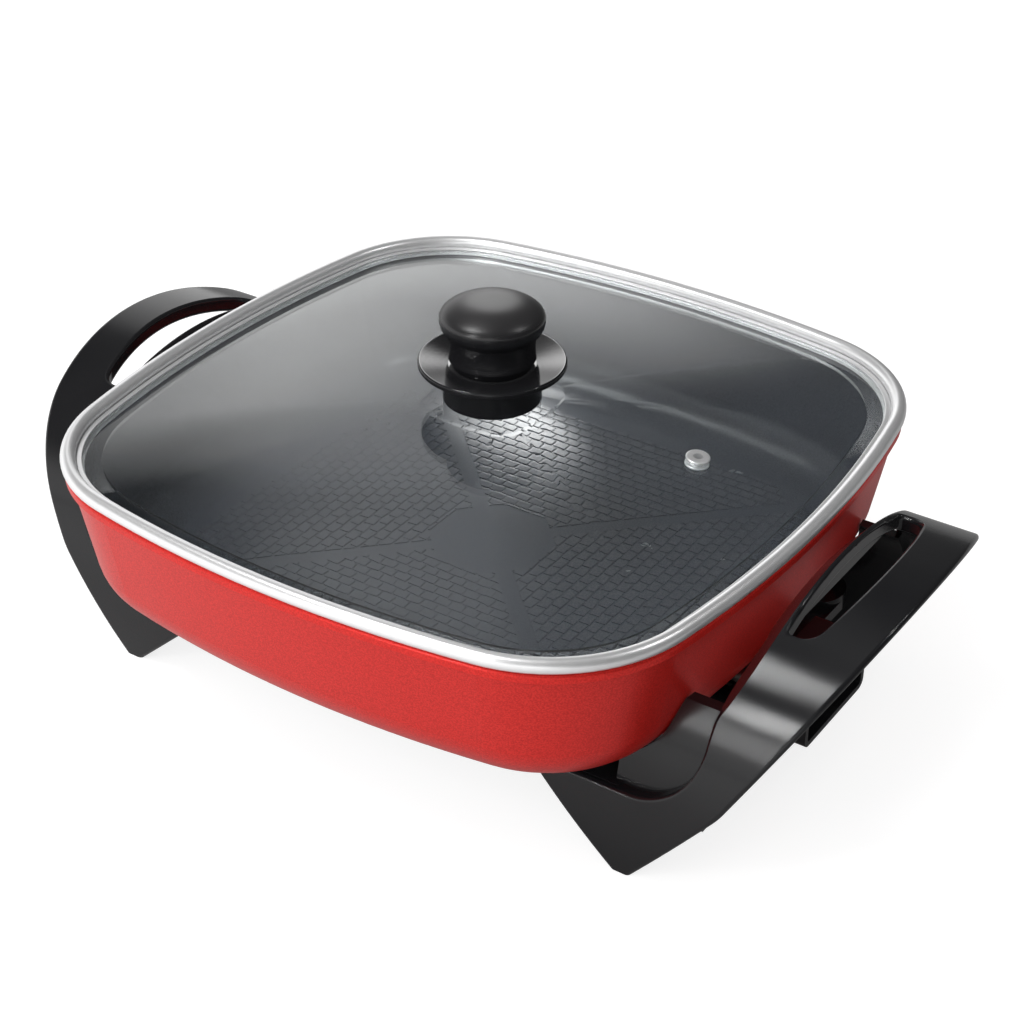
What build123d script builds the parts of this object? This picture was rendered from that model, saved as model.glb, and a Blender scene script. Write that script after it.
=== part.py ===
from build123d import *
from math import atan2, cos, degrees, radians, sin, sqrt, tan
import os

# Square electric hot pot: a cast pan carried by two handle-and-leg mouldings, with a lift-off glass lid.
# Millimetres, +Z up. The origin is on the floor under the middle of the pan, and +X points to the socket.

# Whole object
rim_width = 302.4  # across the lid's ring, between the middles of two sides
grip_reach = 51.6  # how far a grip stands out past the ring, before its edge is rounded
ring_height = 111.5  # floor to the underside of the lid's ring
lid_gap = 0.3  # between the lid's ring and the pan's lip
overrun = 5.0  # how far a cut runs past the faces that it goes through
seat_gap = 0.05  # between pieces that are screwed together
screw_gap = 0.2  # between a screw and a hole that it passes through
thread_gap = 0.1  # between a screw and the hole that it bites in

# Rounded square that the pan and the lid share
side_radius = 526.8  # bulge of a side
corner_radius = 66.8

# Pan
pan_base_height = 49.0  # floor to the pan's underside
wall_inset = 2.5  # wall's outside at the rim, in from the ring's outer edge
wall_lean = 11.2  # how much further in the wall stands at the base
wall_thickness = 3.0
base_thickness = 5.0
base_fillet = 23.0
floor_fillet = 20.0
lip_inset = 1.2
lip_height = 3.4
lip_rounding = 1.2
boss_radius = 7.0
boss_rise = 6.0  # how far a screw boss runs into the pan
boss_length = 8.0  # pan's underside to the top of a screw pad
boss_hole_spare = 2.1  # depth of the hole past the screw's tip

# Heating element and the ridge that it is bedded in
element_radius = 3.3
element_drop = 3.6  # pan's underside to the element's middle
element_half = 82.0  # middle of the loop to its straight runs
element_corner = 40.0
lead_bend = 18.0
lead_offset = 14.0  # each lead from the middle line
lead_inset = 12.2  # ring's outer edge to a lead's end
ridge_run = 26.0  # how far the ridge follows a lead past the loop
ridge_width = 11.0
ridge_sink = 1.0  # how far the ridge runs into the pan's base
bedding_gap = 0.1

# Terminals
insulator_radius = 4.4
insulator_length = 8.0
pin_root_radius = 2.8
pin_shoulder = 0.4  # how far the thick root stands out of the insulator
pin_radius = 2.4
pin_length = 14.0  # free length in the socket
pin_tip = 0.8

# Probe block
probe_inset = 10.2  # ring's outer edge to the block's front
probe_drop = 1.0  # how far the probe's axis lies under the terminals
probe_bore_radius = 3.2
probe_bore_depth = 32.0
probe_end_wall = 4.0
probe_side_gap = 1.0  # between the block and the ridge on each side
probe_height = 10.4
probe_lug_length = 13.0
probe_lug_height = 6.0
probe_screw_radius = 2.0
probe_screw_grip = 3.4  # how far it reaches into the pan's base
probe_screw_head = 3.6
probe_screw_head_height = 2.4

# Handle and leg mouldings
arch_drop = 1.2  # ring's underside to the top of the arch
crown_radius = 132.2
shoulder_radius = 63.7
leg_radius = 157.5
crown_turn = 24.7  # degrees of each arc, from the middle of the grip down to the foot
shoulder_turn = 47.1
leg_turn = 32.0
band_thickness = 7.0
band_edge = 1.6
foot_inset = 30.7  # ring's outer edge to the foot's inner edge
foot_width = 8.7
knee_reach = 12.0  # how far the knee stands out past the ring
knee_height = 41.4
knee_radius = 40.0
rail_gap = 1.8  # between the ring and the grip's rail
plate_drop = 11.5  # pan's underside to the top of a leg's plate
plate_inset = 65.7  # ring's outer edge to the plate's inner end
plate_end = 5.6
notch_radius = 29.0
slot_web = 11.0  # rail's inner face to the finger slot
slot_width = 17.5
slot_end_width = 10.0
slot_half = 48.0
slot_corner = 8.0
slot_inner_corner = 1.5
skirt_height = 16.3
skirt_thickness = 6.0
rail_drop = 11.8  # top of the arch to the rail's inner edge, at the middle of the grip
rail_radius = 150.0  # of the rail's inner edge, seen from the end
rail_slope = 51.0  # degrees, of the bevel from the rail's inner edge up to the finger slot

# Shelf under the pan, which joins the two legs of a moulding and takes the screws
shelf_inset = 15.5  # ring's outer edge to the shelf
shelf_width = 49.0
shelf_half = 79.2
shelf_thickness = 5.0
shelf_corner = 12.5
rib_width = 34.0
rib_sink = 5.0  # leg's outermost point to where the rib ends inside it
pad_width = 30.0
pad_length = 26.0
pad_height = 8.0  # shelf's underside to the top of a screw pad
curb_inset = 33.7  # ring's outer edge to a curb's inner end
curb_sink = 3.0  # how far a curb runs into the band
curb_recess = 6.0  # leg's outer surface to the curb behind its notch
curb_thickness = 4.0
curb_drop = 2.5  # shelf's underside to a curb's lower edge
curb_rise = 42.5  # shelf's underside to a curb's top
pan_gap = 0.6  # between a curb and the pan
screw_inset = 31.2  # ring's outer edge to a handle screw
screw_edge = 14.0  # shelf's end to a handle screw
handle_screw_radius = 2.2
handle_screw_length = 15.0
handle_screw_head = 4.2
handle_screw_head_height = 3.0
washer_radius = 5.6
washer_thickness = 1.0

# Socket shroud
shroud_inset = 8.2  # ring's outer edge to the shroud's back
shroud_depth = 22.4
shroud_half = 26.0
shroud_drop = 14.6  # element's middle to the shroud's underside
shroud_rise = 12.6  # element's middle to the shroud's top
shroud_wall = 2.5
shroud_corner = 4.0
shroud_hole_gap = 0.3
probe_hole_radius = 4.6
tongue_length = 28.0
tongue_width = 40.0
tongue_thickness = 2.2
tongue_screw_inset = 6.5  # tongue's end to its screws
tongue_screw_offset = 12.0
tongue_screw_radius = 1.8
tongue_screw_length = 6.0
tongue_screw_head = 3.4
tongue_screw_head_height = 2.2

# Screw heads
head_rounding = 0.6
driver_radius = 1.3
driver_depth = 1.2

# Lid's ring: a rolled bead, a flange, a wall around the glass, a lip over it and a flange under it
bead_radius = 3.1
ring_sheet = 0.9
lid_fit = 0.9  # between the ring's wall and the inside of the pan
glass_fit = 0.2
lip_cover = 1.2  # how far the lip covers the glass
lip_gap = 0.5  # between the glass's edge and the lip over it
lip_thickness = 1.0
lip_crown = 0.4
under_flange = 3.0
curl_radius = 0.5

# Glass
glass_thickness = 3.6
glass_rise = 13.0
glass_seat = 8.0  # flat margin under the glass's edge
glass_hole_radius = 4.4
flat_share = 0.18  # flat middle under the knob, as a share of the glass's width
dome_shares = (0.85, 0.68, 0.5, 0.34)

# Vent eyelet
vent_x = 90.6
vent_y = 12.2
vent_radius = 5.0
vent_bore = 2.0
vent_tube = 3.2
vent_flange = 1.1
vent_edge = 0.5
vent_gap = 0.1

# Knob
gasket_thickness = 0.8
gasket_inset = 1.5
pedestal_radius = 20.5
pedestal_height = 15.1
guard_radius = 30.7
guard_edge = 2.6
guard_rise = 2.4  # how much higher the disc's rim stands than its middle
guard_rounding = 0.8
stem_radius = 16.5  # foot of the neck, which widens above it
stem_height = 3.3
neck_radius = 18.1
waist_depth = 0.5
neck_height = 10.6
head_radius = 21.7
head_underside = 7.2  # top of the neck to the widest part of the head
head_rise = 7.4
head_shoulder_radius = 17.0
head_shoulder_drop = 2.5
underside_angle = 33.0  # degrees from level, where the head grows out of the neck
shoulder_angle = 27.0
insert_radius = 4.0
insert_length = 16.0
knob_screw_radius = 2.4
knob_screw_reach = 12.0  # thread inside the insert
knob_screw_head = 5.2
knob_screw_head_height = 3.0
knob_washer_radius = 8.5
knob_washer_thickness = 1.2

os.makedirs("parts", exist_ok=True)


def save(builder, name):
    """Label a finished piece and write it as its own file."""
    builder.part.label = name
    export_step(builder.part, f"parts/{name}.step")


# Rounded square: four side arcs whose ends run into four corner arcs
rim_half = rim_width / 2
side_lead = side_radius - rim_half
corner_reach = side_radius - corner_radius
corner_centre = (sqrt(2 * corner_reach**2 - side_lead**2) - side_lead) / 2
side_turn = degrees(atan2(corner_centre, corner_centre + side_lead))


def cushion_path(inset, share=1.0, height=0.0):
    """Closed outline this far inside the ring's outer edge, drawn at a share of its size."""
    with BuildLine(Plane.XY.offset(height), mode=Mode.PRIVATE) as path:
        for quarter in range(4):
            turn = 90 * quarter
            side = Vector(-side_lead, 0).rotate(Axis.Z, turn) * share
            corner = Vector(corner_centre, corner_centre).rotate(Axis.Z, turn) * share
            next_side = Vector(0, -side_lead).rotate(Axis.Z, turn) * share
            side_arc = (side_radius - inset) * share
            corner_arc = (corner_radius - inset) * share
            CenterArc(side, side_arc, turn, side_turn)
            CenterArc(corner, corner_arc, turn + side_turn, 90 - 2 * side_turn)
            CenterArc(next_side, side_arc, turn + 90 - side_turn, side_turn)
    return path.line


def cushion(inset, share=1.0):
    """Face inside the rounded square."""
    make_face(cushion_path(inset, share).edges())


# Heights and places that several pieces share
lip_top = ring_height - lid_gap
wall_height = lip_top - pan_base_height
lean_angle = degrees(atan2(wall_lean, wall_height))
floor_height = pan_base_height + base_thickness
floor_inset = wall_inset + wall_thickness + (lip_top - floor_height) * tan(radians(lean_angle))
pad_top = pan_base_height - boss_length
shelf_bottom = pad_top - pad_height
screw_place = rim_half - screw_inset
screw_offset = shelf_half - screw_edge
screw_places = [(x, y) for x in (-screw_place, screw_place) for y in (-screw_offset, screw_offset)]
washer_top = shelf_bottom - seat_gap
handle_screw_seat = washer_top - washer_thickness - seat_gap
element_height = pan_base_height - element_drop
ridge_end = element_half + ridge_run
lead_end = rim_half - lead_inset
lead_places = [(-lead_offset, element_height), (lead_offset, element_height)]
shroud_back = rim_half - shroud_inset
mouth_start = shroud_back + shroud_wall
tongue_screw_place = mouth_start - tongue_length + tongue_screw_inset
tongue_screw_places = [(tongue_screw_place, -tongue_screw_offset), (tongue_screw_place, tongue_screw_offset)]
probe_axis = (0, element_height - probe_drop)
probe_top = pan_base_height - seat_gap
probe_front = rim_half - probe_inset
probe_length = probe_bore_depth + probe_end_wall
probe_width = 2 * lead_offset - ridge_width - 2 * probe_side_gap
probe_back = probe_front - probe_length
probe_screw_place = (probe_back - probe_lug_length / 2, 0)


def screws(places, seat, radius, length, head_radius, head_height):
    """Round-headed screws driven upwards, with their heads under the given height."""
    with BuildPart() as group:
        with BuildSketch(Plane.XY.offset(seat - head_height)):
            with Locations(*places):
                Circle(head_radius)
        extrude(amount=head_height)
        fillet(group.faces().group_by(Axis.Z)[0].edges(), head_rounding)
        with BuildSketch(Plane.XY.offset(seat - head_height)):
            with Locations(*places):
                RegularPolygon(driver_radius, 6)
        extrude(amount=driver_depth, mode=Mode.SUBTRACT)
        with BuildSketch(Plane.XY.offset(seat)):
            with Locations(*places):
                Circle(radius)
        extrude(amount=length)
    return group


# Heating element: one loop under the pan with both leads towards the socket
def element_route(end):
    """Middle line of the element, with its leads cut at the given end."""
    with BuildLine(Plane.XY.offset(element_height), mode=Mode.PRIVATE) as route:
        FilletPolyline(
            (end, -lead_offset),
            (element_half, -lead_offset),
            (element_half, -element_half),
            (-element_half, -element_half),
            (-element_half, element_half),
            (element_half, element_half),
            (element_half, lead_offset),
            (end, lead_offset),
            radius=[lead_bend] + [element_corner] * 4 + [lead_bend],
        )
    return route.line


def element_tube(radius):
    """Round tube along the whole element."""
    route = element_route(lead_end)
    with BuildPart() as tube:
        with BuildSketch(Plane(route @ 0, z_dir=route % 0)):
            Circle(radius)
        sweep(path=route)
    return tube


heating_element = element_tube(element_radius)
element_bed = element_tube(element_radius + bedding_gap)
save(heating_element, "heating_element")

# Pan: leaning walls on a rounded base, a lip at the rim, bosses and the element's ridge underneath
with BuildPart() as cavity:
    with BuildSketch(Plane.XY.offset(floor_height)):
        cushion(floor_inset)
    extrude(amount=lip_top + overrun - floor_height, taper=-lean_angle)
    fillet(cavity.faces().sort_by(Axis.Z)[0].edges(), floor_fillet)

with BuildPart() as pan_body:
    with BuildSketch(Plane.XY.offset(pan_base_height)):
        cushion(wall_inset + wall_lean)
    extrude(amount=wall_height, taper=-lean_angle)
    fillet(pan_body.faces().sort_by(Axis.Z)[0].edges(), base_fillet)
    with BuildSketch(Plane.XY.offset(lip_top - lip_height)):
        cushion(lip_inset)
    extrude(amount=lip_height)
    fillet(pan_body.faces().sort_by(Axis.Z)[-1].edges(), lip_rounding)
    with BuildSketch(Plane.XY.offset(pad_top + seat_gap)):
        with Locations(*screw_places):
            Circle(boss_radius)
    extrude(amount=pan_base_height + boss_rise - pad_top - seat_gap)
    ridge_route = element_route(ridge_end)
    with BuildSketch(Plane(ridge_route @ 0, x_dir=(0, 1, 0), z_dir=ridge_route % 0)):
        ridge_height = pan_base_height + ridge_sink - element_height
        Rectangle(ridge_width, ridge_height, align=(Align.CENTER, Align.MAX))
    sweep(path=ridge_route)
    add(cavity.part, mode=Mode.SUBTRACT)
    add(element_bed.part, mode=Mode.SUBTRACT)
    with BuildSketch(Plane.XY.offset(pad_top)):
        with Locations(*screw_places):
            Circle(handle_screw_radius + thread_gap)
    extrude(amount=handle_screw_seat + handle_screw_length + boss_hole_spare - pad_top, mode=Mode.SUBTRACT)
    with BuildSketch(Plane.XY.offset(probe_top)):
        with Locations(probe_screw_place):
            Circle(probe_screw_radius + thread_gap)
    extrude(amount=probe_screw_grip + seat_gap + screw_gap, mode=Mode.SUBTRACT)
save(pan_body, "pan_body")

# Terminals: each lead ends in a ceramic bead and a steel pin
terminal_start = lead_end + seat_gap
pin_start = terminal_start + insulator_length + pin_shoulder

with BuildPart() as terminal_insulators:
    with BuildSketch(Plane.YZ.offset(terminal_start)):
        with Locations(*lead_places):
            Circle(insulator_radius)
            Circle(pin_root_radius + seat_gap, mode=Mode.SUBTRACT)
    extrude(amount=insulator_length)
save(terminal_insulators, "terminal_insulators")

with BuildPart() as terminal_pins:
    with BuildSketch(Plane.YZ.offset(terminal_start)):
        with Locations(*lead_places):
            Circle(pin_root_radius)
    extrude(amount=pin_start - terminal_start)
    with BuildSketch(Plane.YZ.offset(pin_start)):
        with Locations(*lead_places):
            Circle(pin_radius)
    extrude(amount=pin_length)
    chamfer(terminal_pins.faces().group_by(Axis.X)[-1].edges(), pin_tip)
save(terminal_pins, "terminal_pins")

# Probe block: seats against the pan's underside and holds the thermostat's probe
with BuildPart() as probe_block:
    with BuildSketch(Plane.XY.offset(probe_top)):
        with Locations((probe_front, 0)):
            Rectangle(probe_length, probe_width, align=(Align.MAX, Align.CENTER))
    extrude(amount=-probe_height)
    with BuildSketch(Plane.XY.offset(probe_top)):
        with Locations((probe_back, 0)):
            Rectangle(probe_lug_length, probe_width, align=(Align.MAX, Align.CENTER))
    extrude(amount=-probe_lug_height)
    with BuildSketch(Plane.YZ.offset(probe_front)):
        with Locations(probe_axis):
            Circle(probe_bore_radius)
    extrude(amount=-probe_bore_depth, mode=Mode.SUBTRACT)
    with BuildSketch(Plane.XY.offset(probe_top)):
        with Locations(probe_screw_place):
            Circle(probe_screw_radius + screw_gap)
    extrude(amount=-probe_lug_height, mode=Mode.SUBTRACT)
save(probe_block, "probe_block")

probe_screw_seat = probe_top - probe_lug_height - seat_gap
probe_screw = screws(
    [probe_screw_place],
    probe_screw_seat,
    probe_screw_radius,
    pan_base_height + probe_screw_grip - probe_screw_seat,
    probe_screw_head,
    probe_screw_head_height,
)
save(probe_screw, "probe_screw")

# Handle and leg mouldings: an arch seen from the end, cut to a leaning outline seen from the front
handle_span = rim_width + 2 * grip_reach
grip_outer = handle_span / 2
arch_height = ring_height - arch_drop


def arch(depth, mode=Mode.ADD):
    """Filled arch whose edge lies this deep inside the moulding's outer surface."""
    with BuildLine(mode=Mode.PRIVATE) as half:
        top = (0, arch_height - depth)
        crown = JernArc(top, (1, 0), crown_radius - depth, -crown_turn)
        shoulder = JernArc(crown @ 1, crown % 1, shoulder_radius - depth, -shoulder_turn)
        leg = JernArc(shoulder @ 1, shoulder % 1, leg_radius - depth, -leg_turn)
        foot = leg @ 1
        Polyline(foot, (0, foot.Y), top)
    face = make_face(half.edges(), mode=Mode.PRIVATE)
    add(face, mode=mode)
    add(face.mirror(Plane.YZ), mode=mode)


foot_inner = rim_half - foot_inset
knee_place = rim_half + knee_reach
rail_inner = rim_half + rail_gap
plate_top = pan_base_height - plate_drop
plate_inner = rim_half - plate_inset
slot_inner = rail_inner + slot_web
slot_outer = slot_inner + slot_width
slot_end_outer = slot_inner + slot_end_width
grip_slope = (grip_outer - knee_place) / (arch_height - knee_height)
above = arch_height + overrun
front_outline = [
    (foot_inner, 0),
    (foot_inner + foot_width, 0),
    (knee_place, knee_height),
    (grip_outer + grip_slope * overrun, above),
    (rail_inner, above),
    (rail_inner, plate_top),
    (plate_inner, plate_top),
    (plate_inner, plate_top - plate_end),
]
curb_start = rim_half - curb_inset
shelf_outer = rim_half - shelf_inset
shelf_inner = shelf_outer - shelf_width
pad_middle = shelf_outer - pad_width / 2
crown_half = crown_radius * sin(radians(crown_turn))
shoulder_end = sin(radians(crown_turn + shoulder_turn))
shoulder_half = crown_half + shoulder_radius * (shoulder_end - sin(radians(crown_turn)))
leg_half = shoulder_half + leg_radius * (1 - shoulder_end)

# Room for the pan above the curbs
with BuildPart() as pan_room:
    with BuildSketch(Plane.XY.offset(pan_base_height - pan_gap)):
        cushion(wall_inset + wall_lean - pan_gap)
    extrude(amount=wall_height, taper=-lean_angle)
    fillet(pan_room.faces().sort_by(Axis.Z)[0].edges(), base_fillet + pan_gap)

with BuildPart() as moulding:
    with BuildSketch(Plane.XZ) as front:
        with BuildLine():
            Polyline(*front_outline, close=True)
        make_face()
        fillet(front.vertices().sort_by_distance((knee_place, knee_height))[0], knee_radius)
        fillet(front.vertices().sort_by_distance((rail_inner, plate_top))[0], notch_radius)
    extrude(amount=arch_height, both=True)
    with BuildSketch(Plane.YZ):
        arch(0)
        arch(band_thickness, mode=Mode.SUBTRACT)
    extrude(amount=grip_outer + overrun, mode=Mode.INTERSECT)
    with BuildSketch(Plane.XY.offset(plate_top)) as slot:
        with BuildLine():
            inner = Line((slot_inner, slot_half), (slot_inner, -slot_half))
            near = Line(inner @ 1, (slot_end_outer, -slot_half))
            bow = ThreePointArc(near @ 1, (slot_outer, 0), (slot_end_outer, slot_half))
            Line(bow @ 1, inner @ 0)
        make_face()
        fillet(slot.vertices().group_by(Axis.X)[-1], slot_corner)
        fillet(slot.vertices().group_by(Axis.X)[0], slot_inner_corner)
    extrude(amount=above - plate_top, mode=Mode.SUBTRACT)
    fillet(moulding.edges().filter_by(lambda edge: edge.center().Z > band_edge), band_edge)
    with BuildSketch(Plane.YZ.offset(rail_inner + band_edge)):
        arch(band_thickness / 2)
        with Locations((0, arch_height - skirt_height)):
            Rectangle(handle_span, above, align=(Align.CENTER, Align.MIN), mode=Mode.INTERSECT)
    extrude(amount=skirt_thickness)
    with BuildSketch(Plane.YZ.offset(rail_inner)):
        with Locations((0, above)):
            Rectangle(2 * leg_half, above - plate_top - notch_radius, align=(Align.CENTER, Align.MAX))
        with Locations((0, arch_height - rail_drop - rail_radius)):
            Circle(rail_radius, mode=Mode.SUBTRACT)
    bevel_run = (slot_web + overrun) / cos(radians(rail_slope))
    bevel_way = Vector(1, 0, 0).rotate(Axis.Y, -rail_slope)
    extrude(amount=bevel_run, dir=bevel_way, mode=Mode.SUBTRACT)
    with BuildSketch(Plane.XY.offset(shelf_bottom)) as shelf:
        with Locations((shelf_inner, 0)):
            Rectangle(shelf_width, 2 * shelf_half, align=(Align.MIN, Align.CENTER))
        fillet(shelf.vertices(), shelf_corner)
        with Locations((shelf_inner, 0)):
            Rectangle(rib_width, 2 * (leg_half - rib_sink), align=(Align.MIN, Align.CENTER))
    extrude(amount=shelf_thickness)
    with BuildSketch(Plane.XY.offset(shelf_bottom)) as pads:
        for side in (-1, 1):
            with Locations((pad_middle, side * (shelf_half - pad_length / 2))):
                Rectangle(pad_width, pad_length)
        fillet(pads.vertices(), shelf_corner)
    extrude(amount=pad_height)
    with BuildSketch(Plane.YZ.offset(curb_start)):
        arch(curb_recess)
        arch(curb_recess + curb_thickness, mode=Mode.SUBTRACT)
        with Locations((0, shelf_bottom - curb_drop)):
            curb_height = curb_drop + curb_rise
            Rectangle(2 * leg_half, curb_height, align=(Align.CENTER, Align.MIN), mode=Mode.INTERSECT)
    extrude(amount=rail_inner + curb_sink - curb_start)
    add(pan_room.part, mode=Mode.SUBTRACT)
    with BuildSketch(Plane.XY.offset(shelf_bottom)):
        with Locations((screw_place, -screw_offset), (screw_place, screw_offset)):
            Circle(handle_screw_radius + screw_gap)
    extrude(amount=pad_height, mode=Mode.SUBTRACT)

with BuildPart() as handle_left:
    add(moulding.part.mirror(Plane.YZ))
save(handle_left, "handle_left")

with BuildPart() as handle_right:
    add(moulding.part)
    with BuildSketch(Plane.XY.offset(shelf_bottom)):
        with Locations(*tongue_screw_places):
            Circle(tongue_screw_radius + thread_gap)
    extrude(amount=shelf_thickness, mode=Mode.SUBTRACT)
save(handle_right, "handle_right")

# Washers and screws under the four screw pads
with BuildPart() as handle_washers:
    with BuildSketch(Plane.XY.offset(washer_top)):
        with Locations(*screw_places):
            Circle(washer_radius)
            Circle(handle_screw_radius + screw_gap, mode=Mode.SUBTRACT)
    extrude(amount=-washer_thickness)
save(handle_washers, "handle_washers")

handle_screws = screws(
    screw_places,
    handle_screw_seat,
    handle_screw_radius,
    handle_screw_length,
    handle_screw_head,
    handle_screw_head_height,
)
save(handle_screws, "handle_screws")

# Socket shroud: an open box around the terminals, held under the right shelf by a tongue
shroud_height = shroud_drop + shroud_rise
shroud_middle = element_height + (shroud_rise - shroud_drop) / 2
tongue_top = shelf_bottom - seat_gap
tongue_bottom = tongue_top - tongue_thickness

with BuildPart() as socket_shroud:
    with BuildSketch(Plane.YZ.offset(shroud_back)):
        with Locations((0, shroud_middle)):
            RectangleRounded(2 * shroud_half, shroud_height, shroud_corner)
    extrude(amount=shroud_depth)
    with BuildSketch(Plane.YZ.offset(mouth_start)):
        with Locations((0, shroud_middle)):
            RectangleRounded(
                2 * (shroud_half - shroud_wall),
                shroud_height - 2 * shroud_wall,
                shroud_corner - shroud_wall,
            )
    extrude(amount=shroud_depth + overrun, mode=Mode.SUBTRACT)
    with BuildSketch(Plane.YZ.offset(shroud_back)):
        with Locations((0, tongue_bottom)):
            root_height = shroud_middle - tongue_bottom
            Rectangle(tongue_width, root_height, align=(Align.CENTER, Align.MIN))
    extrude(amount=shroud_wall)
    with BuildSketch(Plane.XY.offset(tongue_bottom)):
        with Locations((mouth_start, 0)):
            Rectangle(tongue_length, tongue_width, align=(Align.MAX, Align.CENTER))
        with Locations(*tongue_screw_places):
            Circle(tongue_screw_radius + screw_gap, mode=Mode.SUBTRACT)
    extrude(amount=tongue_thickness)
    with BuildSketch(Plane.YZ.offset(shroud_back)):
        with Locations(*lead_places):
            Circle(insulator_radius + shroud_hole_gap)
        with Locations(probe_axis):
            Circle(probe_hole_radius)
    extrude(amount=shroud_wall, mode=Mode.SUBTRACT)
save(socket_shroud, "socket_shroud")

socket_screws = screws(
    tongue_screw_places,
    tongue_bottom - seat_gap,
    tongue_screw_radius,
    tongue_screw_length,
    tongue_screw_head,
    tongue_screw_head_height,
)
save(socket_screws, "socket_screws")

# Lid's ring: one section swept around the rounded square
ring_wall = wall_inset + wall_thickness + lid_fit
glass_inset = ring_wall + ring_sheet + glass_fit
flange_top = ring_height + ring_sheet
glass_edge = flange_top - lip_gap
ring_floor = glass_edge - glass_thickness - glass_fit - ring_sheet


def ring_bar(outer, inner, low, high):
    """Rectangle of the ring's section between two insets and two heights."""
    with Locations((rim_half - inner, low)):
        Rectangle(inner - outer, high - low, align=Align.MIN)


with BuildPart() as lid_rim:
    with BuildSketch(Plane.XZ) as section:
        with Locations((rim_half - bead_radius, ring_height + bead_radius)):
            Circle(bead_radius)
        ring_bar(bead_radius, ring_wall + ring_sheet, flange_top - ring_sheet, flange_top)
        ring_bar(ring_wall, ring_wall + ring_sheet, ring_floor, flange_top)
        ring_bar(ring_wall, glass_inset + lip_cover, flange_top, flange_top + lip_thickness)
        fillet(section.vertices().group_by(Axis.Y)[-1], lip_crown)
        ring_bar(ring_wall, ring_wall + under_flange, ring_floor, ring_floor + ring_sheet)
        with Locations((rim_half - ring_wall - under_flange, ring_floor + ring_sheet - curl_radius)):
            Circle(curl_radius)
    sweep(path=cushion_path(ring_wall, height=ring_floor))
save(lid_rim, "lid_rim")


# Glass: a shallow dome over a flat edge, with holes for the knob's screw and the vent
def dome_height(share):
    """Height of the glass's upper surface on the outline drawn at this share of its edge."""
    return glass_edge + glass_rise * (1 - share**2) / (1 - flat_share**2)


glass_half = rim_half - glass_inset
seat_share = 1 - glass_seat / glass_half
glass_top = glass_edge + glass_rise
vent_share = vent_x / glass_half
vent_slope = 2 * glass_rise * vent_share / (1 - flat_share**2) / glass_half
vent_plane = Plane((vent_x, vent_y, dome_height(vent_share)), z_dir=(vent_slope, 0, 1))

with BuildPart() as underside:
    with BuildSketch(Plane.XY.offset(glass_edge - glass_thickness - overrun)):
        cushion(glass_inset, seat_share)
    extrude(amount=dome_height(seat_share) - glass_edge + overrun)
    for share in (seat_share, *dome_shares, flat_share):
        with BuildSketch(Plane.XY.offset(dome_height(share) - glass_thickness)):
            cushion(glass_inset, share)
    loft()

with BuildPart() as lid_glass:
    with BuildSketch(Plane.XY.offset(glass_edge - glass_thickness)):
        cushion(glass_inset)
    extrude(amount=glass_thickness)
    for share in (1.0, *dome_shares, flat_share):
        with BuildSketch(Plane.XY.offset(dome_height(share))):
            cushion(glass_inset, share)
    loft()
    add(underside.part, mode=Mode.SUBTRACT)
    with BuildSketch(Plane.XY.offset(glass_top)):
        Circle(glass_hole_radius)
    extrude(amount=overrun, both=True, mode=Mode.SUBTRACT)
    with BuildSketch(vent_plane):
        Circle(vent_tube + vent_gap)
    extrude(amount=overrun, both=True, mode=Mode.SUBTRACT)
save(lid_glass, "lid_glass")

# Vent eyelet: a tube with a flange above and below the glass
with BuildPart() as vent_eyelet:
    with BuildSketch(vent_plane.offset(vent_gap)):
        Circle(vent_radius)
    extrude(amount=vent_flange)
    with BuildSketch(vent_plane.offset(-glass_thickness - vent_gap)):
        Circle(vent_radius)
    extrude(amount=-vent_flange)
    fillet(vent_eyelet.edges().filter_by(GeomType.CIRCLE), vent_edge)
    with BuildSketch(vent_plane.offset(-glass_thickness - vent_gap)):
        Circle(vent_tube)
    extrude(amount=glass_thickness + 2 * vent_gap)
    with BuildSketch(vent_plane):
        Circle(vent_bore)
    extrude(amount=glass_thickness + overrun, both=True, mode=Mode.SUBTRACT)
save(vent_eyelet, "vent_eyelet")

# Knob: gaskets on both sides of the glass, a dished guard on a pedestal, and the grip above it
guard_base = glass_top + gasket_thickness + 2 * seat_gap
guard_middle = guard_base + pedestal_height
guard_top = guard_middle + guard_rise
grip_base = guard_middle + seat_gap
neck_base = grip_base + stem_height
neck_top = neck_base + neck_height
head_widest = neck_top + head_underside
head_top = head_widest + head_rise
glass_bottom = glass_top - glass_thickness
washer_seat = glass_bottom - gasket_thickness - 2 * seat_gap
knob_screw_seat = washer_seat - knob_washer_thickness - seat_gap

with BuildPart() as knob_gaskets:
    with BuildSketch(Plane.XY.offset(glass_top + seat_gap)):
        Circle(pedestal_radius - gasket_inset)
        Circle(glass_hole_radius, mode=Mode.SUBTRACT)
    extrude(amount=gasket_thickness)
    with BuildSketch(Plane.XY.offset(glass_bottom - seat_gap)):
        Circle(knob_washer_radius)
        Circle(glass_hole_radius, mode=Mode.SUBTRACT)
    extrude(amount=-gasket_thickness)
save(knob_gaskets, "knob_gaskets")

with BuildPart() as knob_guard:
    with BuildSketch(Plane.XZ) as guard_section:
        with BuildLine():
            Polyline(
                (knob_screw_radius + screw_gap, guard_base),
                (pedestal_radius, guard_base),
                (pedestal_radius, guard_middle - guard_edge),
                (guard_radius, guard_top - guard_edge),
                (guard_radius, guard_top),
                (neck_radius, guard_middle),
                (knob_screw_radius + screw_gap, guard_middle),
                close=True,
            )
        make_face()
        fillet(guard_section.vertices().group_by(Axis.X)[-1], guard_rounding)
    revolve(axis=Axis.Z)
save(knob_guard, "knob_guard")

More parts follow.
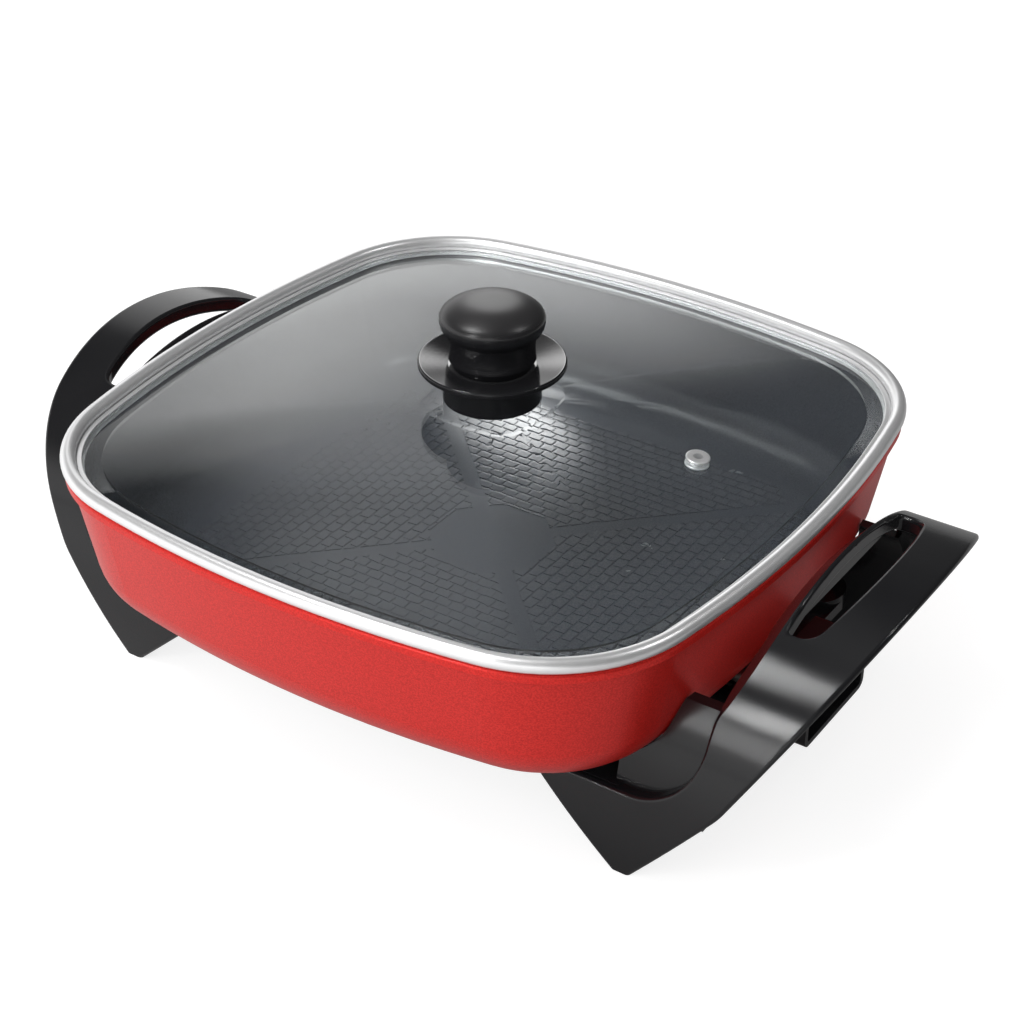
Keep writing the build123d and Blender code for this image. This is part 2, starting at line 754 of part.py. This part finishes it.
with BuildPart() as knob_grip:
    with BuildSketch(Plane.XZ):
        with BuildLine():
            Polyline((0, head_top), (0, grip_base), (stem_radius, grip_base), (neck_radius, neck_base))
            waist = (neck_radius - waist_depth, (neck_base + neck_top) / 2)
            ThreePointArc((neck_radius, neck_base), waist, (neck_radius, neck_top))
            Spline(
                (neck_radius, neck_top),
                (head_radius, head_widest),
                (head_shoulder_radius, head_top - head_shoulder_drop),
                (0, head_top),
                tangents=(
                    Vector(1, 0).rotate(Axis.Z, underside_angle),
                    (0, 1),
                    Vector(-1, 0).rotate(Axis.Z, -shoulder_angle),
                    (-1, 0),
                ),
            )
        make_face()
    revolve(axis=Axis.Z)
    with BuildSketch(Plane.XY.offset(grip_base)):
        Circle(insert_radius + seat_gap)
    extrude(amount=insert_length + seat_gap, mode=Mode.SUBTRACT)
save(knob_grip, "knob_grip")

with BuildPart() as knob_insert:
    with BuildSketch(Plane.XY.offset(grip_base)):
        Circle(insert_radius)
        Circle(knob_screw_radius + thread_gap, mode=Mode.SUBTRACT)
    extrude(amount=insert_length)
save(knob_insert, "knob_insert")

with BuildPart() as knob_washer:
    with BuildSketch(Plane.XY.offset(washer_seat)):
        Circle(knob_washer_radius)
        Circle(knob_screw_radius + screw_gap, mode=Mode.SUBTRACT)
    extrude(amount=-knob_washer_thickness)
save(knob_washer, "knob_washer")

knob_screw = screws(
    [(0, 0)],
    knob_screw_seat,
    knob_screw_radius,
    grip_base + knob_screw_reach - knob_screw_seat,
    knob_screw_head,
    knob_screw_head_height,
)
save(knob_screw, "knob_screw")
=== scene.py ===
# %% [markdown]
# # An electric hot pot
# A square cast pan stands on two black handle mouldings under a lift-off glass lid. The solid pieces come
# ready-made as the frame, in metres, and keep their places. This lesson gives each of them its finish,
# models the raised pattern on the pan's floor, and sets up the floor, the lights and the camera.

# %% Load the frame
import math

import bpy
from mathutils import Matrix, Vector


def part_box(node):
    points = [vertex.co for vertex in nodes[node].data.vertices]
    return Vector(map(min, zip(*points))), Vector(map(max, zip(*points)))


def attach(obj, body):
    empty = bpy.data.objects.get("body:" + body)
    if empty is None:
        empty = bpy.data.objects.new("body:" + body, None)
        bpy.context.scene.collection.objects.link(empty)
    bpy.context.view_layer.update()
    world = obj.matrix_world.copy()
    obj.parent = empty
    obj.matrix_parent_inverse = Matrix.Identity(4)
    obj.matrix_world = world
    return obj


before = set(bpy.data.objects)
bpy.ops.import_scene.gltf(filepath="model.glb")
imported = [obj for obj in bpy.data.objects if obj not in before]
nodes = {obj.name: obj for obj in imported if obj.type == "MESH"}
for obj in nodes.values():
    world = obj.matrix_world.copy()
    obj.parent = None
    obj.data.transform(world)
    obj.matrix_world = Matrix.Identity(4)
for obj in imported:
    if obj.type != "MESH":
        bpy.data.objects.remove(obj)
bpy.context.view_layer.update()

bpy.ops.object.select_all(action="DESELECT")
print("pieces in the frame:", len(nodes))


# %% [markdown]
# ## Shader sums
# A finish is a small graph of nodes. Wiring it by hand hides the idea, so a `Value` stands for one output
# socket and takes part in sums: every operator adds the Math node that it names. Every other node comes
# from one method, which sets the node's options first and then feeds its sockets.

# %% Sums on sockets
class Value:
    """One output socket of a finish, usable in sums."""

    def __init__(self, finish, socket):
        self.finish = finish
        self.socket = socket

    def math(self, operation, *others):
        feeds = dict(enumerate((self, *others)))
        return self.finish.node("ShaderNodeMath", {"operation": operation}, feeds)

    def __add__(self, other):
        return self.math("ADD", other)

    __radd__ = __add__

    def __sub__(self, other):
        return self.math("SUBTRACT", other)

    def __rsub__(self, other):
        return (self * -1) + other

    def __mul__(self, other):
        return self.math("MULTIPLY", other)

    __rmul__ = __mul__

    def over(self, limit, soft):
        """0 below the limit, 1 above it, with a soft edge this wide."""
        feeds = {"Value": self, "From Min": limit - soft / 2, "From Max": limit + soft / 2}
        return self.finish.node("ShaderNodeMapRange", {"interpolation_type": "SMOOTHSTEP"}, feeds)


def tone(colour):
    """A colour fit for a socket: a sum as it is, or three numbers with an alpha of 1."""
    return colour if isinstance(colour, Value) else (*colour, 1.0)


class Finish:
    """One node tree, of a material, a lamp or the world."""

    def __init__(self, owner):
        owner.use_nodes = True
        self.owner = owner
        self.tree = owner.node_tree
        self.tree.nodes.clear()

    def node(self, kind, settings, feeds, output=0):
        """Add a node, set its options, feed its sockets and return one of its outputs."""
        made = self.tree.nodes.new(kind)
        for name, setting in settings.items():
            setattr(made, name, setting)
        for name, feed in feeds.items():
            if isinstance(feed, Value):
                self.tree.links.new(feed.socket, made.inputs[name])
            else:
                made.inputs[name].default_value = feed
        return Value(self, made.outputs[output]) if made.outputs else None

    def place(self):
        """Object coordinates, in metres."""
        return self.node("ShaderNodeTexCoord", {}, {}, "Object")

    def parts(self, vector):
        """The X, Y and Z of a vector."""
        split = self.node("ShaderNodeSeparateXYZ", {}, {"Vector": vector}).socket.node
        return [Value(self, socket) for socket in split.outputs]

    def along(self, vector, direction):
        """How far a vector points in a direction."""
        feeds = {0: vector, 1: direction}
        return self.node("ShaderNodeVectorMath", {"operation": "DOT_PRODUCT"}, feeds, "Value")

    def rays(self, *names):
        """Outputs of a Light Path node, each of them 1 for rays of its kind and 0 for others."""
        path = self.node("ShaderNodeLightPath", {}, {}).socket.node
        return [Value(self, path.outputs[name]) for name in names]

    def noise(self, scale, detail=2.0, roughness=0.5):
        feeds = {"Vector": self.place(), "Scale": scale, "Detail": detail, "Roughness": roughness}
        return self.node("ShaderNodeTexNoise", {}, feeds, "Fac")

    def blend(self, factor, first, second):
        """Colour that goes from the first to the second."""
        feeds = {0: factor, 6: tone(first), 7: tone(second)}
        return self.node("ShaderNodeMix", {"data_type": "RGBA"}, feeds, 2)

    def bump(self, height, distance, strength):
        feeds = {"Height": height, "Distance": distance, "Strength": strength}
        return self.node("ShaderNodeBump", {}, feeds)

    def surface(self, **feeds):
        """The Principled shader. Argument names are its socket names with underscores."""
        named = {name.replace("_", " "): feed for name, feed in feeds.items()}
        for name, feed in named.items():
            if name.endswith("Color"):
                named[name] = tone(feed)
        return self.node("ShaderNodeBsdfPrincipled", {}, named)

    def finish(self, shader):
        self.node("ShaderNodeOutputMaterial", {}, {"Surface": shader})
        return self.owner


def new_finish(name):
    return Finish(bpy.data.materials.new(name))


def dress(finish, *names):
    """Give CAD nodes a finish."""
    for name in names:
        slots = nodes[name].data.materials
        slots.clear()
        slots.append(finish)
    print(finish.name, "on", ", ".join(names))


# %% [markdown]
# ## The pan
# The pan is one casting with three finishes: satin red enamel with a fine metallic grain outside, dark
# nonstick inside and bare grey metal underneath. As it is one mesh, the finish is chosen by place. A wall
# that faces away from the middle is outside. A wall that faces the middle is inside, and so is the floor.

# %% Pan finish
MM = 0.001
rim_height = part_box("pan_body")[1].z
base_height = 49 * MM
floor_height = 54 * MM
lip_depth = 8 * MM
base_edge = 0.9 * MM


def pan_finish():
    f = new_finish("pan_enamel")
    x, y, z = f.parts(f.place())
    nx, ny, nz = f.parts(f.node("ShaderNodeTexCoord", {}, {}, "Normal"))
    facing_out = x * nx + y * ny
    inner_wall = 1 - facing_out.over(-0.004, 0.002)
    inner_floor = nz.over(0.3, 0.1) * (1 - z.over(rim_height - lip_depth, 1 * MM))
    inside = inner_wall.math("MAXIMUM", inner_floor)
    grain = f.noise(1500, 3.0, 0.6)
    mottle = f.noise(60, 3.0)
    edge = z + (mottle - 0.5) * (1.5 * MM)
    under = 1 - edge.over(base_height + base_edge, 0.8 * MM)

    red = f.blend(grain.over(0.5, 0.3), (0.58, 0.012, 0.008), (0.80, 0.030, 0.022))
    red = f.blend(mottle * 0.35, red, (0.72, 0.014, 0.008))
    slate = f.blend(grain.over(0.5, 0.5), (0.028, 0.031, 0.038), (0.045, 0.049, 0.058))
    metal = f.blend(mottle, (0.20, 0.20, 0.21), (0.34, 0.34, 0.35))
    colour = f.blend(under, f.blend(inside, red, slate), metal)

    outside = (1 - inside) * (1 - under)
    roughness = 0.38 * outside + inside * (0.22 + 0.06 * mottle) + under * (0.50 + 0.15 * mottle)
    metallic = outside * 0.45 + under * 0.85
    depth = grain * (0.6 * outside + 0.45 * inside + 1.2 * under)
    normal = f.bump(depth, 0.05 * MM, 1.0)
    shader = f.surface(
        Base_Color=colour,
        Roughness=roughness,
        Metallic=metallic,
        Normal=normal,
        Coat_Weight=outside * 0.06,
        Coat_Roughness=0.12,
    )
    return f.finish(shader)


dress(pan_finish(), "pan_body")


# %% [markdown]
# ## The black mouldings
# Handles, socket and knob are black moulded plastic. Under soft light such a moulding is never quite even:
# the gloss wavers a little where the melt cooled, and a faint orange peel breaks up the reflections. The
# knob's head is worn to a satin by hands, while its neck and guard are still glossy. Its top is also painted
# a little lighter, which is a painted highlight.

# %% Moulding finishes
def moulding_finish(name, gloss, satin):
    """Black plastic whose roughness wavers between two values."""
    f = new_finish(name)
    waver = f.noise(25, 3.0)
    peel = f.noise(700, 2.0)
    colour = f.blend(waver, (0.006, 0.006, 0.007), (0.011, 0.011, 0.012))
    roughness = gloss + (satin - gloss) * waver + 0.03 * peel
    normal = f.bump(peel, 0.02 * MM, 0.5)
    shader = f.surface(Base_Color=colour, Roughness=roughness, Normal=normal, IOR=1.45)
    return f.finish(shader)


def knob_finish():
    """Black plastic that goes from glossy on the neck to satin on the head, whose top is painted lighter as
    a painted highlight.
    """
    f = new_finish("black_knob_grip")
    head_depth = 5 * MM
    head_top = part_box("knob_grip")[1].z
    height = f.parts(f.place())[2]
    # Towards the head's top the roughness rises to a worn satin, and the colour is painted lighter, a
    # painted highlight.
    wear_and_highlight = height.over(head_top - head_depth, 12 * MM)
    waver = f.noise(60, 3.0)
    peel = f.noise(900, 2.0)
    colour = f.blend(wear_and_highlight, (0.008, 0.008, 0.009), (0.020, 0.019, 0.020))
    roughness = 0.14 + 0.24 * wear_and_highlight + 0.06 * waver
    normal = f.bump(peel, 0.02 * MM, 0.4)
    return f.finish(f.surface(Base_Color=colour, Roughness=roughness, Normal=normal, IOR=1.5))


dress(moulding_finish("black_moulding", 0.12, 0.20), "handle_left", "handle_right", "socket_shroud")
dress(moulding_finish("black_knob_guard", 0.07, 0.13), "knob_guard")
dress(knob_finish(), "knob_grip")


# %% [markdown]
# ## Glass and polished steel
# Toughened glass is clear, with a slight green-grey cast. A path tracer treats a glass lid as a lens, and
# lamps don't light through a lens without a great many rays, so shadow rays see it as a clear film. The
# rolled ring and the vent's eyelet are bright stainless steel with faint polishing marks.

# %% Glass and steel finishes
def glass_finish():
    f = new_finish("lid_glass")
    cast = (0.93, 0.95, 0.95)
    body = f.surface(Base_Color=cast, Roughness=0.0, IOR=1.5, Transmission_Weight=1.0)
    film = f.node("ShaderNodeBsdfTransparent", {}, {"Color": (*cast, 1.0)})
    shadow = f.rays("Is Shadow Ray")[0]
    return f.finish(f.node("ShaderNodeMixShader", {}, {0: shadow, 1: body, 2: film}))


def steel_finish(name, dark, light, gloss, satin, scale, metallic=1.0):
    """Bare metal between two tones, with marks of the given scale."""
    f = new_finish(name)
    marks = f.noise(scale, 4.0, 0.6)
    colour = f.blend(marks, dark, light)
    roughness = gloss + (satin - gloss) * marks
    normal = f.bump(marks, 0.01 * MM, 0.4)
    return f.finish(f.surface(Base_Color=colour, Roughness=roughness, Metallic=metallic, Normal=normal))


polished = steel_finish("polished_steel", (0.88, 0.88, 0.89), (0.94, 0.94, 0.94), 0.30, 0.38, 300, 0.8)
dress(glass_finish(), "lid_glass")
dress(polished, "lid_rim", "vent_eyelet")


# %% [markdown]
# ## What shows from below
# Turned over, the pot shows its heating element, screws, probe block and terminals. Each gets the finish of
# its own stuff: dull steel tube, plain steel screws, cast aluminium, white ceramic, brass and rubber.

# %% Finishes of the small pieces
def matt_finish(name, dark, light, rough, scale, depth):
    """Dull stuff, mottled between two tones."""
    f = new_finish(name)
    mottle = f.noise(scale, 3.0)
    colour = f.blend(mottle, dark, light)
    normal = f.bump(mottle, depth, 0.6)
    return f.finish(f.surface(Base_Color=colour, Roughness=rough + 0.15 * mottle, Normal=normal))


dress(
    steel_finish("element_sheath", (0.16, 0.15, 0.15), (0.34, 0.31, 0.28), 0.35, 0.60, 90),
    "heating_element",
)
dress(
    steel_finish("plain_steel", (0.46, 0.46, 0.47), (0.62, 0.62, 0.63), 0.22, 0.42, 500),
    "handle_screws",
    "handle_washers",
    "socket_screws",
    "probe_screw",
    "terminal_pins",
    "knob_screw",
    "knob_washer",
)
dress(steel_finish("cast_aluminium", (0.42, 0.42, 0.43), (0.60, 0.60, 0.61), 0.40, 0.60, 400), "probe_block")
dress(steel_finish("insert_brass", (0.50, 0.36, 0.14), (0.64, 0.48, 0.22), 0.20, 0.36, 300), "knob_insert")
dress(
    matt_finish("white_ceramic", (0.78, 0.76, 0.70), (0.86, 0.84, 0.79), 0.55, 250, 0.05 * MM),
    "terminal_insulators",
)
dress(
    matt_finish("seal_rubber", (0.020, 0.020, 0.021), (0.036, 0.036, 0.037), 0.60, 300, 0.05 * MM),
    "knob_gaskets",
)


# %% [markdown]
# ## The pattern on the pan's floor
# The floor is cast with low brick-shaped pads, so that food doesn't lie flat on it. They fill four fields
# around a plain octagon, with plain bands along the diagonals. One pad is shaped from a cube that stands
# mostly in the floor. Array modifiers repeat it into a sheet, and its corners are scattered a little. The
# sheet is bisected to one field, a Boolean takes the octagon out, and the other fields are turned copies.

# %% One field of pads
PAD_LENGTH = 6.2 * MM
PAD_WIDTH = 4.4 * MM
PAD_STEP = 7.0 * MM
ROW_STEP = 5.2 * MM
PAD_HEIGHT = 0.25 * MM
PAD_SINK = 2.0 * MM
PAD_CROWN = 0.05 * MM
PAD_EDGE = 0.4 * MM
PAD_SCATTER = 0.35 * MM
FIELD_REACH = 108 * MM
MIDDLE_RADIUS = 28 * MM
MIDDLE_DEPTH = 20 * MM
BAND_HALF = 3.6 * MM
CORNER_CUT = 133 * MM


def shape_pad():
    """A brick standing in the floor at the first place of the sheet."""
    columns = math.ceil(FIELD_REACH / PAD_STEP)
    corner = Vector((-columns * PAD_STEP, -FIELD_REACH, floor_height + (PAD_HEIGHT - PAD_SINK) / 2))
    bpy.ops.mesh.primitive_cube_add(size=1, location=corner)
    bpy.ops.transform.resize(value=(PAD_LENGTH, PAD_WIDTH, PAD_HEIGHT + PAD_SINK))
    bpy.ops.object.transform_apply(location=True, rotation=True, scale=True)
    return bpy.context.object


def repeat(piece, name, count, step):
    """Array the piece by a constant step."""
    array = piece.modifiers.new(name, "ARRAY")
    array.count = count
    array.use_relative_offset = False
    array.use_constant_offset = True
    array.constant_offset_displace = step
    bpy.ops.object.modifier_apply(modifier=name)


def cut(point, away):
    """Remove what lies beyond a plane, and close the cut."""
    bpy.ops.mesh.select_all(action="SELECT")
    bpy.ops.mesh.bisect(plane_co=point, plane_no=away, use_fill=True, clear_outer=True)


def select_tops(sheet):
    """Select the upward faces of a sheet that is in edit mode."""
    bpy.ops.mesh.select_all(action="DESELECT")
    bpy.ops.object.mode_set(mode="OBJECT")
    for face in sheet.data.polygons:
        face.select = face.normal.z > 0.7
    bpy.ops.object.mode_set(mode="EDIT")


def clear_middle(sheet):
    """Take an octagon out of the middle of a sheet."""
    turn = (0, 0, math.radians(22.5))
    bpy.ops.mesh.primitive_cylinder_add(
        vertices=8,
        radius=MIDDLE_RADIUS,
        depth=MIDDLE_DEPTH,
        location=(0, 0, floor_height),
        rotation=turn,
    )
    octagon = bpy.context.object
    bpy.ops.object.select_all(action="DESELECT")
    bpy.context.view_layer.objects.active = sheet
    clearing = sheet.modifiers.new("middle", "BOOLEAN")
    clearing.operation = "DIFFERENCE"
    clearing.object = octagon
    bpy.ops.object.modifier_apply(modifier="middle")
    bpy.data.objects.remove(octagon)


def pad_field():
    """The field towards -Y."""
    field = shape_pad()
    columns = 2 * math.ceil(FIELD_REACH / PAD_STEP) + 1
    rows = math.ceil(FIELD_REACH / ROW_STEP)
    repeat(field, "row", columns, (PAD_STEP, 0, 0))
    repeat(field, "second_row", 2, (PAD_STEP / 2, ROW_STEP, 0))
    repeat(field, "rows", math.ceil(rows / 2), (0, 2 * ROW_STEP, 0))
    bpy.ops.object.mode_set(mode="EDIT")
    bpy.ops.mesh.select_all(action="SELECT")
    bpy.ops.transform.vertex_random(offset=PAD_SCATTER, uniform=1.0, normal=0.0, seed=7)
    select_tops(field)
    bpy.ops.transform.resize(value=(1, 1, 0), center_override=(0, 0, floor_height + PAD_HEIGHT))
    bpy.ops.mesh.inset(thickness=PAD_EDGE, depth=0, use_individual=True)
    bpy.ops.transform.translate(value=(0, 0, PAD_CROWN))
    slant = math.sqrt(0.5)
    for side in (-1, 1):
        cut((-side * BAND_HALF / slant, 0, 0), (side * slant, slant, 0))
        cut((side * CORNER_CUT * slant, -CORNER_CUT * slant, 0), (side * slant, -slant, 0))
    cut((0, -FIELD_REACH, 0), (0, -1, 0))
    bpy.ops.object.mode_set(mode="OBJECT")
    clear_middle(field)
    return field


# %% All four fields, joined into one piece
def turned_copy(field, degrees):
    bpy.ops.object.select_all(action="DESELECT")
    field.select_set(True)
    bpy.context.view_layer.objects.active = field
    bpy.ops.object.duplicate()
    copy = bpy.context.object
    copy.data.transform(Matrix.Rotation(math.radians(degrees), 4, "Z"))
    return copy


first_field = pad_field()
fields = [first_field] + [turned_copy(first_field, degrees) for degrees in (90, 180, 270)]
bpy.ops.object.select_all(action="DESELECT")
for field in fields:
    field.select_set(True)
bpy.context.view_layer.objects.active = first_field
bpy.ops.object.join()
floor_pads = first_field
floor_pads.name = "floor_pads"
bpy.ops.object.select_all(action="DESELECT")


def pad_finish():
    f = new_finish("pad_nonstick")
    grain = f.noise(1500, 3.0, 0.6)
    mottle = f.noise(60, 3.0)
    slate = f.blend(grain.over(0.5, 0.5), (0.032, 0.035, 0.042), (0.050, 0.054, 0.063))
    normal = f.bump(grain * 0.45, 0.05 * MM, 1.0)
    return f.finish(f.surface(Base_Color=slate, Roughness=0.23 + 0.06 * mottle, Normal=normal))


floor_pads.data.materials.append(pad_finish())
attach(floor_pads, "pot")
print("floor pads:", len(floor_pads.data.polygons), "faces")


# %% [markdown]
# ## Floor and surroundings
# The pot stands on a pale sheet. The camera sees it brighter than it is lit, also through the glass, so
# that it reads as white paper and still takes the pot's soft shadow. Mirrors see that brightness only in
# front on the left. The world is white to the camera. In mirrors and through glass it is a light wall low
# on the left, a soft panel, a patch of haze behind, and dim elsewhere, so that the glass stays clear. What
# it sheds on matt surfaces comes mostly from the front left.

# %% Floor and world
FLOOR_SIZE = 12.0
SHEET_LIFT = 0.80
SHEET_SHEEN = 0.75
FRONT_LEFT = (-0.45, -0.89, 0.0)
SKY_DIM = 0.09
PANEL_GLOW = 0.34
WALL_GLOW = 1.15
WALL_SIDE = (-0.833, -0.554, 0.0)
HAZE_GLOW = 0.55
HAZE_SIDE = (-0.620, 0.620, 0.482)
FILL_LEFT = 1.40
FILL_RIGHT = 0.30

# Where each of these starts or ends, and how wide its soft edge is
SHEEN_START = (0.15, 0.5)
WALL_TOP = (0.36, 0.34)
WALL_START = (-0.14, 0.24)
PANEL_START = (0.05, 0.26)
PANEL_END = (0.24, 0.12)
HAZE_START = (0.985, 0.03)
FILL_START = (0.15, 1.2)


def sheet_finish():
    f = new_finish("floor_sheet")
    paper = f.surface(Base_Color=(0.36, 0.36, 0.36), Roughness=0.9, Specular_IOR_Level=0.0)
    seen, through, mirrored = f.rays("Is Camera Ray", "Is Transmission Ray", "Is Glossy Ray")
    front_left = f.along(f.place(), FRONT_LEFT).over(*SHEEN_START)
    lift = f.node("ShaderNodeEmission", {}, {"Color": (1, 1, 1, 1), "Strength": SHEET_LIFT})
    dark = f.node("ShaderNodeEmission", {}, {"Color": (0, 0, 0, 1), "Strength": 0.0})
    sheen = mirrored * front_left * SHEET_SHEEN
    shown = seen.math("MAXIMUM", through).math("MAXIMUM", sheen)
    extra = f.node("ShaderNodeMixShader", {}, {0: shown, 1: dark, 2: lift})
    return f.finish(f.node("ShaderNodeAddShader", {}, {0: paper, 1: extra}))


bpy.ops.mesh.primitive_plane_add(size=FLOOR_SIZE, location=(0, 0, 0))
sheet = bpy.context.object
sheet.name = "floor_sheet"
sheet.data.materials.append(sheet_finish())

world = bpy.data.worlds.new("studio")
bpy.context.scene.world = world
w = Finish(world)
seen, through, mirrored = w.rays("Is Camera Ray", "Is Transmission Ray", "Is Glossy Ray")
mirrored = mirrored.math("MAXIMUM", through)
outlook = w.node("ShaderNodeTexCoord", {}, {}, "Generated")
up = w.parts(outlook)[2]
aside = w.along(outlook, WALL_SIDE)
wall = (1 - up.over(*WALL_TOP)) * aside.over(*WALL_START)
panel = aside.over(*PANEL_START) * (1 - aside.over(*PANEL_END))
haze = w.along(outlook, HAZE_SIDE).over(*HAZE_START)
shine = SKY_DIM + (WALL_GLOW - SKY_DIM) * wall + HAZE_GLOW * haze + PANEL_GLOW * panel
fill = FILL_RIGHT + (FILL_LEFT - FILL_RIGHT) * w.along(outlook, FRONT_LEFT).over(*FILL_START)
glow = mirrored * shine + (1 - mirrored) * fill
strength = seen + (1 - seen) * glow
sky = w.node("ShaderNodeBackground", {}, {"Color": (1, 1, 1, 1), "Strength": strength})
w.node("ShaderNodeOutputWorld", {}, {"Surface": sky})
print("floor sheet, and a world with a light wall, a panel and haze over a dim sky")


# %% [markdown]
# ## Lamps
# Six soft lamps. A small one just behind the pan's back wall makes the glow on the pan's floor. It is kept
# to the pan and its pads and throws no shadow, so it shines through the wall, and it also lights a patch
# of the wall's outside. One behind the pot is kept to the knob in the same way. A strip and a low lamp in
# front on the left draw the bright patch on the right handle's shoulder, and two lamps above fill in.
# These four do without multiple importance sampling, so that clear glass doesn't mirror them as windows.

# %% Lamps
def soft_lamp(name, target, toward, distance, width, height, radiance, fade=False, only=None, grid=180):
    """Area lamp that faces its target. It may be kept to a few pieces, which then throw no shadow in it.

    A grid narrows the beam to this many degrees.
    """
    place = Vector(target) + Vector(toward).normalized() * distance
    data = bpy.data.lights.new(name, "AREA")
    data.shape = "RECTANGLE"
    data.size = width
    data.size_y = height
    half_beam = math.radians(grid) / 2
    data.spread = 2 * half_beam
    data.energy = radiance * math.pi * width * height * (1 - half_beam / math.tan(half_beam))
    data.cycles.use_multiple_importance_sampling = bool(only)
    lamp = bpy.data.objects.new(name, data)
    bpy.context.scene.collection.objects.link(lamp)
    aim = (Vector(target) - place).to_track_quat("-Z", "Y")
    lamp.matrix_world = Matrix.Translation(place) @ aim.to_matrix().to_4x4()
    lamp.visible_camera = False
    if only:
        data.use_shadow = False
        lit_pieces = bpy.data.collections.new(name + "_pieces")
        for piece in only:
            lit_pieces.objects.link(piece)
        lamp.light_linking.receiver_collection = lit_pieces
    if fade:
        f = Finish(data)
        across, along = f.parts(f.node("ShaderNodeNewGeometry", {}, {}, "Parametric"))[:2]
        side = (across - 0.5) * 2
        rise = (along - 0.5) * 2
        middle = 1 - (side * side + rise * rise).math("SQRT")
        feeds = {"Color": (1, 1, 1, 1), "Strength": middle.over(0.5, 1.0)}
        light = f.node("ShaderNodeEmission", {}, feeds)
        f.node("ShaderNodeOutputLight", {}, {"Surface": light})
    print("lamp", name, "at", [round(c, 2) for c in place])


FLOOR_SPOT = (-0.030, 0.110, 0.054)
KNOB_TOP = (0.0, 0.0, 0.169)
LEG_SHOULDER = (0.171, -0.077, 0.081)

soft_lamp(
    "floor_glow",
    FLOOR_SPOT,
    toward=(-0.476, 0.722, 0.502),
    distance=0.045,
    width=0.15,
    height=0.05,
    radiance=24,
    fade=True,
    only=[nodes["pan_body"], floor_pads],
    grid=84,
)
soft_lamp(
    "back",
    KNOB_TOP,
    toward=(-0.50, 0.74, 0.46),
    distance=1.2,
    width=0.60,
    height=0.45,
    radiance=8,
    fade=True,
    only=[nodes["knob_grip"], nodes["knob_guard"]],
)
soft_lamp(
    "strip",
    LEG_SHOULDER,
    toward=(-0.33, -0.72, 0.61),
    distance=0.9,
    width=0.07,
    height=0.20,
    radiance=22,
)
soft_lamp(
    "front_low",
    LEG_SHOULDER,
    toward=(-0.34, -0.88, 0.34),
    distance=0.9,
    width=0.25,
    height=0.25,
    radiance=4,
)
soft_lamp(
    "overhead_left",
    KNOB_TOP,
    toward=(-0.30, -0.35, 0.89),
    distance=1.2,
    width=0.40,
    height=0.40,
    radiance=10,
)
soft_lamp(
    "overhead_right",
    KNOB_TOP,
    toward=(0.55, 0.30, 0.78),
    distance=1.2,
    width=0.45,
    height=0.45,
    radiance=9,
    fade=True,
)


# %% [markdown]
# ## Camera
# The camera looks down on the front corner of the pot through a long lens, turned a little about its axis.

# %% Camera
CAMERA_AZIMUTH = math.radians(33.63)
CAMERA_ELEVATION = math.radians(32.39)
CAMERA_ROLL = math.radians(0.39)
CAMERA_DISTANCE = 0.8192
CAMERA_TARGET = Vector((0.0447, -0.0520, 0.1120))
CAMERA_LENS = 74.07
SENSOR_WIDTH = 36.0

level = math.cos(CAMERA_ELEVATION)
back = Vector((
    math.sin(CAMERA_AZIMUTH) * level,
    -math.cos(CAMERA_AZIMUTH) * level,
    math.sin(CAMERA_ELEVATION),
))
right = (-back).cross(Vector((0, 0, 1))).normalized()
above = back.cross(right)
turn = Matrix.Rotation(CAMERA_ROLL, 3, "Z")
axes = Matrix((right, above, back)).transposed() @ turn
camera_data = bpy.data.cameras.new("camera")
camera_data.sensor_width = SENSOR_WIDTH
camera_data.lens = CAMERA_LENS
camera = bpy.data.objects.new("camera", camera_data)
camera.matrix_world = Matrix.Translation(CAMERA_TARGET + back * CAMERA_DISTANCE) @ axes.to_4x4()
bpy.context.scene.collection.objects.link(camera)
bpy.context.scene.camera = camera
bpy.context.scene.view_settings.view_transform = "Standard"
print("camera at", [round(c, 3) for c in camera.matrix_world.translation])
